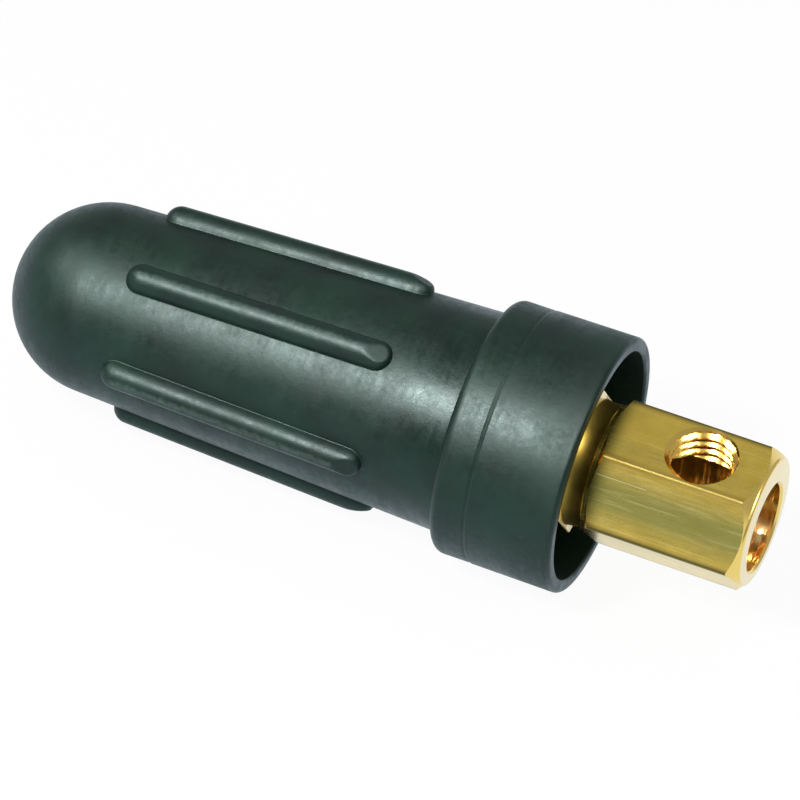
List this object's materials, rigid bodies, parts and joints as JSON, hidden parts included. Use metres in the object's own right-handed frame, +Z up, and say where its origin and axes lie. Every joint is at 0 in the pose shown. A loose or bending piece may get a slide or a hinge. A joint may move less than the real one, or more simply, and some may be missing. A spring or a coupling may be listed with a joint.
{
  "type": "welding cable connector",
  "caption": "Twist-lock welding cable plug: ribbed rubber boot with a domed closed end, and a hexagonal brass clamp insert with a cable bore and a clamp screw hole.",
  "frame": {"origin": "under the middle of the connector's length, on the surface that its skirt lies on", "axes": "+X along the connector's axis, out of the skirt and towards the cable end of the insert; +Z up"},
  "size_m": [0.1294, 0.043, 0.043],
  "materials": {
    "rubber": "moulded rubber, satin",
    "brass": "drawn hexagonal bar with turned ends"
  },
  "bodies": {
    "root": {"boot": "rubber", "insert": "brass"}
  },
  "joints": []
}
